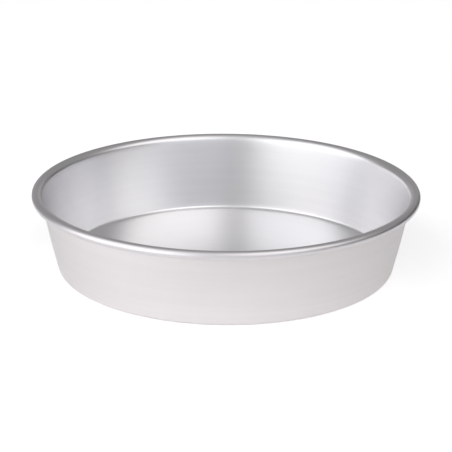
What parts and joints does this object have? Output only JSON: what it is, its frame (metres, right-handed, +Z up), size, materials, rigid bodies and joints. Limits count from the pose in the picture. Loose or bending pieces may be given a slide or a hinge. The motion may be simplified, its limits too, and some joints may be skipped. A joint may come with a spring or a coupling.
{
  "type": "round cake tin",
  "caption": "Shallow round baking tin with a flat floor, outward-leaning wall and a rim rolled over a wire.",
  "frame": {"origin": "middle of the underside of the floor, on the surface that the tin stands on", "axes": "+Z up along the tin's axis of revolution; +X and +Y are any two square directions across the rim"},
  "size_m": [0.272, 0.272, 0.0568],
  "materials": {
    "spun_aluminium": "satin spun aluminium with fine marks that run round the tin",
    "rim_wire_steel": "drawn steel wire, hidden inside the rolled rim"
  },
  "bodies": {
    "root": {"tin_shell": "spun_aluminium", "rim_wire": "rim_wire_steel"}
  },
  "joints": []
}
